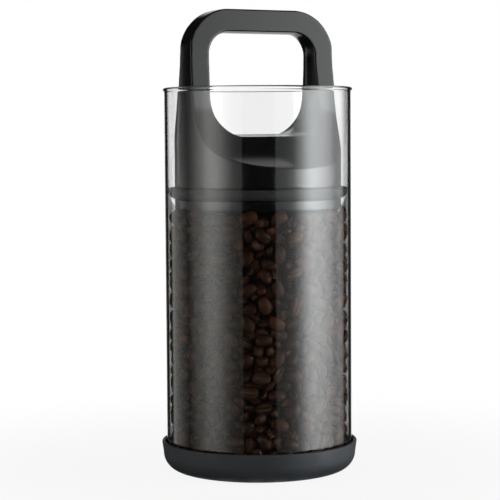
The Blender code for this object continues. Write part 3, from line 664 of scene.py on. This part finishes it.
def make_handle(look):
    """The upper lid and arch handle, with every edge rounded."""
    low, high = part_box("handle_shell")
    field, origin = handle_field(low, high)
    vertices, faces = surface_of(field, origin, HANDLE_CELL)
    handle = add_mesh("arch_handle", vertices, faces.tolist(), look, NO_SHARP_EDGE)
    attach(handle, "handle")
    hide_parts("handle_shell")


def make_cup(look):
    """The cup under the seal, with its chamfered lower edge softened."""
    low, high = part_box("piston_cup")
    lid = outer_radius("piston_cup")
    inner = lid - CUP_WALL
    r = EDGE_ROUND
    outline = [(0, low.z), (lid - CUP_CHAMFER - r, low.z), (lid - CUP_CHAMFER, low.z + r / 3)]
    outline += [(lid - r / 3, low.z + CUP_CHAMFER - r / 3), (lid, low.z + CUP_CHAMFER + r)]
    outline += [(lid, high.z - r), (lid - r, high.z), (inner, high.z), (inner, low.z + CUP_FLOOR)]
    outline += [(0, low.z + CUP_FLOOR)]
    cup = turned("lid_cup", outline, look)
    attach(cup, "plunger")
    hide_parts("piston_cup")


def bean_shape(around, along):
    """One bean lying along X with its back up: vertices, faces and how deep each lies in the crease."""
    vertices = [(-BEAN_HALF_LENGTH, 0.0, 0.0)]
    crease = [0.0]
    for row in range(1, along):
        turn = math.pi * row / along
        x = -BEAN_HALF_LENGTH * math.cos(turn)
        size = math.sin(turn) ** BEAN_END_POWER
        bend = BEAN_BEND * math.sin(math.pi * x / BEAN_HALF_LENGTH)
        for angle in around:
            a = math.radians(angle)
            y = BEAN_HALF_WIDTH * size * math.cos(a)
            back = math.sin(a) > 0
            z = size * (BEAN_BACK if back else -BEAN_BELLY)
            z *= abs(math.sin(a)) ** (1.0 if back else BEAN_BELLY_POWER)
            full = min(1.0, BEAN_CREASE_FADE * size**2)
            depth = 0.0 if back else math.exp(-((y / BEAN_CREASE_WIDTH) ** 2)) * full
            z += BEAN_CREASE * depth
            vertices.append((x, y + (bend if not back else 0.0), z))
            crease.append(depth)
    vertices.append((BEAN_HALF_LENGTH, 0.0, 0.0))
    crease.append(0.0)
    count = len(around)
    faces = []
    for side in range(count):
        after = (side + 1) % count
        faces.append((0, 1 + after, 1 + side))
        for row in range(along - 2):
            base = 1 + row * count
            faces.append((base + side, base + after, base + count + after, base + count + side))
        last = 1 + (along - 2) * count
        faces.append((last + side, last + after, len(vertices) - 1))
    return np.array(vertices), faces, np.array(crease)


def touching_pairs(centres, reach):
    """Pairs of balls of different beans whose centres are within reach."""
    tree = kdtree.KDTree(len(centres))
    for index, centre in enumerate(centres):
        tree.insert(centre, index)
    tree.balance()
    pairs = []
    for index, centre in enumerate(centres):
        for _, other, _ in tree.find_range(centre, reach):
            if other > index and other // 3 != index // 3:
                pairs.append((index, other))
    return np.array(pairs)


def outer_places(low, high, inner):
    """Where the outer beans reach furthest out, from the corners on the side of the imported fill."""
    side_base = low.z + JAR_HEEL - JAR_WALL + EDGE_ROUND
    corners = {tuple(round(c, 6) for c in v.co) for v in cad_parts["coffee_beans"].data.vertices}
    places = np.array(sorted(c for c in corners if side_base < c[2] < high.z - EDGE_ROUND))
    reach = np.hypot(places[:, 0], places[:, 1])
    places[:, :2] *= ((inner - BEAN_DEPTH_SHARE * (inner - reach)) / reach)[:, None]
    return places


def pack_beans(rng, places, inner, floor_top, top):
    """Each bean is three balls in a row. The outer beans keep their places, and the rest settle behind."""
    spread = np.arctan2(places[:, 1], places[:, 0])
    reach = np.hypot(places[:, 0], places[:, 1]) - BEAN_BALL
    kept = np.stack([reach * np.cos(spread), reach * np.sin(spread), places[:, 2]], axis=1)
    centres = [tuple(place) for place in kept]
    rows = int((top - floor_top) / (BEAN_PITCH * BEAN_ROW_SHARE))
    for layer in range(int((inner - 2 * BEAN_BALL) / BEAN_LAYER_STEP)):
        radius = inner - 2 * BEAN_BALL - (layer + 0.5) * BEAN_LAYER_STEP
        per_row = int(math.tau * radius / BEAN_PITCH)
        for row in range(0 if layer < BEAN_LAYERS else rows - BEAN_TOP_ROWS, rows):
            for place in range(per_row):
                aside = rng.uniform(-BEAN_SCATTER, BEAN_SCATTER)
                angle = math.tau * (place + 0.5 * (row % 2) + aside) / per_row
                raised = rng.uniform(-BEAN_SCATTER, BEAN_SCATTER)
                height = floor_top + (row + 0.5 + raised) * (top - floor_top) / rows
                centres.append((radius * math.cos(angle), radius * math.sin(angle), height))
        if layer < BEAN_LAYERS:
            pressed = len(centres)
    centres = np.array(centres)
    drifts = np.where(np.arange(len(centres)) < pressed, BEAN_DRIFT, 0.0)
    angles = np.arctan2(centres[:, 1], centres[:, 0])
    tilts = rng.uniform(0, math.pi, len(centres))[:, None]
    leans = rng.normal(0, BEAN_LEAN, len(centres))[:, None]
    flat = np.zeros_like(angles)
    tangents = np.stack([-np.sin(angles), np.cos(angles), flat], axis=1)
    outwards = np.stack([np.cos(angles), np.sin(angles), flat], axis=1)
    axes = np.cos(tilts) * tangents + np.sin(tilts) * np.array([0, 0, 1.0]) + leans * outwards
    axes /= np.linalg.norm(axes, axis=1)[:, None]
    offsets = (BEAN_HALF_LENGTH - BEAN_BALL) * np.array([-1.0, 0.0, 1.0])
    for turn in range(PACK_ROUNDS):
        balls = (centres[:, None, :] + axes[:, None, :] * offsets[None, :, None]).reshape(-1, 3)
        if turn % PACK_REFRESH == 0:
            pairs = touching_pairs(balls, PACK_REACH * BEAN_BALL)
        apart = balls[pairs[:, 0]] - balls[pairs[:, 1]]
        distance = np.maximum(np.linalg.norm(apart, axis=1), SHORTEST)
        push = np.maximum(2 * BEAN_BALL - distance, 0)[:, None] * apart / distance[:, None] * PACK_PUSH
        moved = balls.copy()
        np.add.at(moved, pairs[:, 0], push)
        np.add.at(moved, pairs[:, 1], -push)
        reach = np.hypot(moved[:, 0], moved[:, 1])
        drift = np.repeat(drifts, 3) * (1 - turn / PACK_ROUNDS)
        held = np.minimum(reach + drift, inner - BEAN_BALL)
        moved[:, :2] *= (held / np.maximum(reach, SHORTEST))[:, None]
        moved[:, 2] = np.clip(moved[:, 2], floor_top + BEAN_BALL, top - BEAN_BALL)
        moved = moved.reshape(-1, 3, 3)
        centres = moved.mean(axis=1)
        centres[:len(kept)] = kept
        axes = moved[:, 2] - moved[:, 0]
        axes /= np.linalg.norm(axes, axis=1)[:, None]
    return centres, axes


def make_beans(look):
    """All that shows of the beans through the glass and from above, as one mesh of separate beans."""
    rng = np.random.default_rng(BEAN_SEED)
    low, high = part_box("coffee_beans")
    cup_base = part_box("piston_cup")[0].z
    cup_side = outer_radius("piston_cup") + PIECE_GAP
    inner = outer_radius("coffee_beans")
    places = outer_places(low, high, inner)
    centres, axes = pack_beans(rng, places, inner, low.z, cup_base - PIECE_GAP)
    fine = bean_shape(BEAN_FINE_RING, BEAN_FINE_ROWS)
    plain = bean_shape(BEAN_PLAIN_RING, BEAN_PLAIN_ROWS)
    vertices, faces, tones, creases = [], [], [], []
    total = 0
    for number, (centre, axis) in enumerate(zip(centres, axes)):
        outward = np.array([centre[0], centre[1], 0.0]) / math.hypot(centre[0], centre[1])
        flip = 1.0 if rng.random() < BEAN_BACK_OUT else -1.0
        side = np.cross(axis, outward)
        side /= np.linalg.norm(side) + TINY
        up = np.cross(side, axis)
        up *= flip / (np.linalg.norm(up) + TINY)
        roll = rng.normal(0, BEAN_ROLL)
        turned_up = math.cos(roll) * up + math.sin(roll) * side
        turned_side = np.cross(turned_up, axis)
        shape, quads, crease = fine if number < len(places) + len(places) // 2 else plain
        points = centre + (shape * rng.uniform(*BEAN_SIZES, 3)) @ np.array([axis, turned_side, turned_up])
        reach = np.hypot(points[:, 0], points[:, 1]).max()
        if number < len(places):
            points -= outward * (reach - math.hypot(places[number][0], places[number][1]))
        else:
            points -= outward * max(reach - inner, 0)
        # The ceiling is the cup's underside, which rises along the chamfer and opens beside the cup
        beside = np.hypot(points[:, 0], points[:, 1]) - cup_side + CUP_CHAMFER
        ceilings = cup_base - PIECE_GAP + np.maximum(beside, 0)
        ceilings = np.where(beside > CUP_CHAMFER, high.z + BEAN_RISE, ceilings)
        room = (ceilings - points[:, 2]).min()
        if number >= len(places) or room > BEAN_TOP_GAP:
            room = min(room, 0)
        points[:, 2] += room
        points[:, 2] += max(low.z - points[:, 2].min(), 0)
        vertices.append(points)
        faces += [tuple(total + v for v in quad) for quad in quads]
        tones.append(np.full(len(points), np.clip(rng.normal(*BEAN_TONE), 0, 1)))
        creases.append(crease)
        total += len(points)
    beans = add_mesh("loose_beans", np.concatenate(vertices), faces, look, NO_SHARP_EDGE)
    stored = beans.data.color_attributes.new("bean", "FLOAT_COLOR", "POINT")
    tone, crease = np.concatenate(tones), np.concatenate(creases)
    values = np.stack([tone, crease, np.zeros_like(tone), np.ones_like(tone)], axis=1)
    stored.data.foreach_set("color", values.astype(np.float32).ravel())
    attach(beans, "canister")
    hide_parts("coffee_beans")


def make_spring(look):
    """The release valve's spring, one open coil; the real one shortens as the handle rises."""
    low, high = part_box("valve_spring")
    wire = SPRING_WIRE / 2
    radius = outer_radius("valve_spring") - wire
    count = SPRING_TURNS * SPRING_STEPS
    vertices = []
    for step in range(count + 1):
        turn = math.tau * step / SPRING_STEPS
        middle = low.z + wire + (high.z - low.z - SPRING_WIRE) * step / count
        for side in range(SPRING_WIRE_SIDES):
            angle = math.tau * side / SPRING_WIRE_SIDES
            reach = radius + wire * math.cos(angle)
            height = middle + wire * math.sin(angle)
            vertices.append((reach * math.cos(turn), reach * math.sin(turn), height))
    faces = [tuple(reversed(range(SPRING_WIRE_SIDES)))]
    for step in range(count):
        base = step * SPRING_WIRE_SIDES
        above = base + SPRING_WIRE_SIDES
        for side in range(SPRING_WIRE_SIDES):
            after = (side + 1) % SPRING_WIRE_SIDES
            faces.append((base + side, base + after, above + after, above + side))
    faces.append(tuple(range(count * SPRING_WIRE_SIDES, (count + 1) * SPRING_WIRE_SIDES)))
    spring = add_mesh("valve_coil", vertices, faces, look, SPRING_SHARP_ANGLE)
    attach(spring, "plunger")
    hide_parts("valve_spring")
    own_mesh(spring)


def dress_inner_pieces():
    """The spring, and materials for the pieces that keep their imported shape."""
    core = plastic("core_plastic", (0.055, 0.056, 0.058), (0.075, 0.076, 0.08), 0.42, 0.55)
    rubber = silicone("valve_rubber", (0.02, 0.02, 0.021), (0.03, 0.03, 0.031))
    steel = steel_look()
    make_spring(steel)
    looks = {"piston_core": core, "spring_cap": core, "valve_disc": core, "valve_gasket": rubber}
    for name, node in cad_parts.items():
        if name in looks or name.startswith(("cup_screw", "guide_screw", "valve_s", "filter")):
            node.data.materials.clear()
            node.data.materials.append(looks.get(name, steel))


def make_camera():
    """The photograph's camera: a long lens, a little to the left of the handle's front."""
    turn = math.radians(CAMERA_AZIMUTH)
    yaw = math.radians(CAMERA_YAW) + turn
    pitch = math.radians(CAMERA_PITCH)
    roll = math.radians(CAMERA_ROLL)
    forward = Vector((math.sin(yaw) * math.cos(pitch), math.cos(yaw) * math.cos(pitch), -math.sin(pitch)))
    level = Vector((math.cos(yaw), -math.sin(yaw), 0))
    upright = level.cross(forward)
    right = math.cos(roll) * level + math.sin(roll) * upright
    up = -math.sin(roll) * level + math.cos(roll) * upright
    camera = add_object("camera", bpy.data.cameras.new("camera"))
    place = Matrix((right, up, -forward)).transposed().to_4x4()
    sideways = -CAMERA_DISTANCE * math.sin(turn)
    place.translation = (sideways, -CAMERA_DISTANCE * math.cos(turn), CAMERA_HEIGHT)
    camera.matrix_world = place
    camera.data.sensor_width = SENSOR_WIDTH
    camera.data.lens = SENSOR_WIDTH * FOCAL_PIXELS / PHOTO_PIXELS
    bpy.context.scene.camera = camera


def make_softbox(name, stops, fall, colour):
    """A wide curved softbox, from its stops of (degrees right of the camera, radiance) and its fall."""
    columns = SOFTBOX_STEPS + 1
    degrees = np.linspace(stops[0][0], stops[-1][0], columns)
    heights, shares = zip(*fall)
    glow = np.outer(shares, np.interp(degrees, *zip(*sorted(stops)))).ravel()
    angles = np.radians(degrees - 90 - CAMERA_AZIMUTH)
    ring = [(SOFTBOX_REACH * math.cos(a), SOFTBOX_REACH * math.sin(a)) for a in angles]
    vertices = [(x, y, height) for height in heights for x, y in ring]
    starts = [row * columns + step for row in range(len(heights) - 1) for step in range(SOFTBOX_STEPS)]
    faces = [(i, i + 1, i + columns + 1, i + columns) for i in starts]
    look = bpy.data.materials.new(name)
    look.use_nodes = True
    tree = look.node_tree
    tree.nodes.clear()
    stored = tree.nodes.new("ShaderNodeAttribute")
    stored.attribute_name = "glow"
    lamp = tree.nodes.new("ShaderNodeEmission")
    lamp.inputs["Color"].default_value = colour
    tree.links.new(stored.outputs["Fac"], lamp.inputs["Strength"])
    clear = tree.nodes.new("ShaderNodeBsdfTransparent")
    surface = mix_shaders(tree, straight_through(tree), lamp.outputs["Emission"], clear.outputs["BSDF"])
    output = tree.nodes.new("ShaderNodeOutputMaterial")
    tree.links.new(surface, output.inputs["Surface"])
    mesh = bpy.data.meshes.new(name)
    mesh.from_pydata(vertices, [], faces)
    mesh.materials.append(look)
    values = mesh.attributes.new("glow", "FLOAT", "POINT")
    values.data.foreach_set("value", glow.astype(np.float32))
    box = add_object(name, mesh)


def make_floor():
    """A pale floor that keeps the shadow. Gloss sees through it, down to the foot of the softboxes."""
    look = bpy.data.materials.new("pale_floor")
    look.use_nodes = True
    tree = look.node_tree
    matte = tree.nodes["Principled BSDF"]
    matte.inputs["Base Color"].default_value = FLOOR_GREY
    matte.inputs["Roughness"].default_value = FLOOR_ROUGHNESS
    matte.inputs["Specular IOR Level"].default_value = 0.0
    place = tree.nodes.new("ShaderNodeTexCoord").outputs["Object"]
    away = tree.nodes.new("ShaderNodeVectorMath")
    away.operation = "LENGTH"
    tree.links.new(place, away.inputs[0])
    fade = map_range(tree, away.outputs["Value"], FLOOR_FADE, FLOOR_WHITE, "SMOOTHSTEP")
    backwards, right = backwards_and_right()
    sideways = math_node(tree, "ABSOLUTE", reach_along(tree, place, right))
    behind = reach_along(tree, place, backwards)
    beside = math_node(tree, "SUBTRACT", sideways, FLOOR_STRIP_HALF)
    slope = math_node(tree, "DIVIDE", beside, math_node(tree, "MAXIMUM", behind, LEAST_BEHIND))
    dim = map_range(tree, slope, FLOOR_DIM_SLOPE, (0.0, FLOOR_LOSS))
    near = math_node(tree, "LESS_THAN", behind, FLOOR_DIM_REACH)
    inside = math_node(tree, "MULTIPLY", near, math_node(tree, "GREATER_THAN", behind, 0.0))
    path = tree.nodes.new("ShaderNodeLightPath")
    dim = math_node(tree, "MULTIPLY", dim, inside)
    lost = math_node(tree, "MULTIPLY", dim, path.outputs["Is Transmission Ray"])
    shown = math_node(tree, "MAXIMUM", math_node(tree, "SUBTRACT", straight_through(tree), lost), 0.0)
    lamp = tree.nodes.new("ShaderNodeEmission")
    lamp.inputs["Color"].default_value = WHITE
    share = math_node(tree, "MULTIPLY", shown, fade)
    surface = mix_shaders(tree, share, matte.outputs["BSDF"], lamp.outputs["Emission"])
    clear = tree.nodes.new("ShaderNodeBsdfTransparent")
    gloss = math_node(tree, "GREATER_THAN", path.outputs["Glossy Depth"], ONE_BOUNCE)
    seen = mix_shaders(tree, gloss, surface, clear.outputs["BSDF"])
    tree.links.new(seen, tree.nodes["Material Output"].inputs["Surface"])
    mesh = bpy.data.meshes.new("floor")
    corners = [(x * FLOOR_HALF, y * FLOOR_HALF, 0.0) for x, y in ((-1, -1), (1, -1), (1, 1), (-1, 1))]
    mesh.from_pydata(corners, [], [(0, 1, 2, 3)])
    mesh.materials.append(look)
    floor = add_object("floor", mesh)


def make_world():
    """White behind what is seen or seen through. Light and gloss get a narrow wall and a dim room."""
    world = bpy.data.worlds.new("studio")
    bpy.context.scene.world = world
    world.use_nodes = True
    tree = world.node_tree
    tree.nodes.clear()
    place = tree.nodes.new("ShaderNodeTexCoord").outputs["Generated"]
    backwards, right = backwards_and_right()
    rightwards = reach_along(tree, place, right)
    sideways = math_node(tree, "ABSOLUTE", rightwards)
    behind = math_node(tree, "GREATER_THAN", reach_along(tree, place, backwards), 0.0)
    narrow = map_range(tree, sideways, BACKDROP_SIDE, (1.0, 0.0), "SMOOTHSTEP")
    rise = tree.nodes.new("ShaderNodeValToRGB")
    set_stops(rise.color_ramp, [(height, (glow, glow, glow, 1.0)) for height, glow in BACKDROP_RISE])
    tree.links.new(reach_along(tree, place, (0.0, 0.0, 1.0)), rise.inputs["Fac"])
    wall = math_node(tree, "MULTIPLY", math_node(tree, "MULTIPLY", narrow, behind), rise.outputs["Color"])
    room = tree.nodes.new("ShaderNodeBackground")
    room.inputs["Color"].default_value = WHITE
    tree.links.new(math_node(tree, "ADD", wall, ROOM_LIGHT), room.inputs["Strength"])
    white = tree.nodes.new("ShaderNodeBackground")
    white.inputs["Color"].default_value = WHITE
    path = tree.nodes.new("ShaderNodeLightPath")
    end = map_range(tree, rightwards, BACKDROP_END, (0.0, BACKDROP_LOSS))
    lost = math_node(tree, "MULTIPLY", end, path.outputs["Is Transmission Ray"])
    shown = math_node(tree, "MAXIMUM", math_node(tree, "SUBTRACT", straight_through(tree), lost), 0.0)
    surface = mix_shaders(tree, shown, room.outputs["Background"], white.outputs["Background"])
    output = tree.nodes.new("ShaderNodeOutputWorld")
    tree.links.new(surface, output.inputs["Surface"])


def make_top_light():
    """A broad soft lamp overhead."""
    lamp = bpy.data.lights.new("top_light", "AREA")
    lamp.shape = "SQUARE"
    lamp.size = TOP_LIGHT_SIZE
    lamp.energy = TOP_LIGHT_POWER
    top = add_object("top_light", lamp)
    top.location = TOP_LIGHT_PLACE
    top.visible_camera = False
    top.visible_glossy = False
    top.visible_transmission = False


make_camera()
make_jar(glass_look())
make_boot(silicone("boot_silicone", (0.045, 0.05, 0.0575), (0.061, 0.0675, 0.076)))
make_seal(silicone("seal_rubber", (0.028, 0.028, 0.03), (0.04, 0.04, 0.042)))
make_cup(plastic("cup_plastic", (0.004, 0.004, 0.0045), (0.006, 0.006, 0.0065), 0.12, 0.19, 0.6))
make_handle(plastic("handle_plastic", (0.005, 0.005, 0.0055), (0.008, 0.008, 0.0085), 0.14, 0.21, 0.6))
make_beans(bean_look())
dress_inner_pieces()

make_floor()
make_world()
make_top_light()
make_softbox("softbox_left", SOFTBOX_LEFT, SOFTBOX_FALL, SOFTBOX_LEFT_COLOUR)
make_softbox("softbox_low", SOFTBOX_LOW, SOFTBOX_LOW_FALL, SOFTBOX_LEFT_COLOUR)
make_softbox("softbox_edge", SOFTBOX_EDGE, SOFTBOX_EDGE_FALL, SOFTBOX_LEFT_COLOUR)
make_softbox("softbox_right", SOFTBOX_RIGHT, SOFTBOX_FALL, SOFTBOX_RIGHT_COLOUR)
bpy.context.scene.view_settings.view_transform = "Standard"
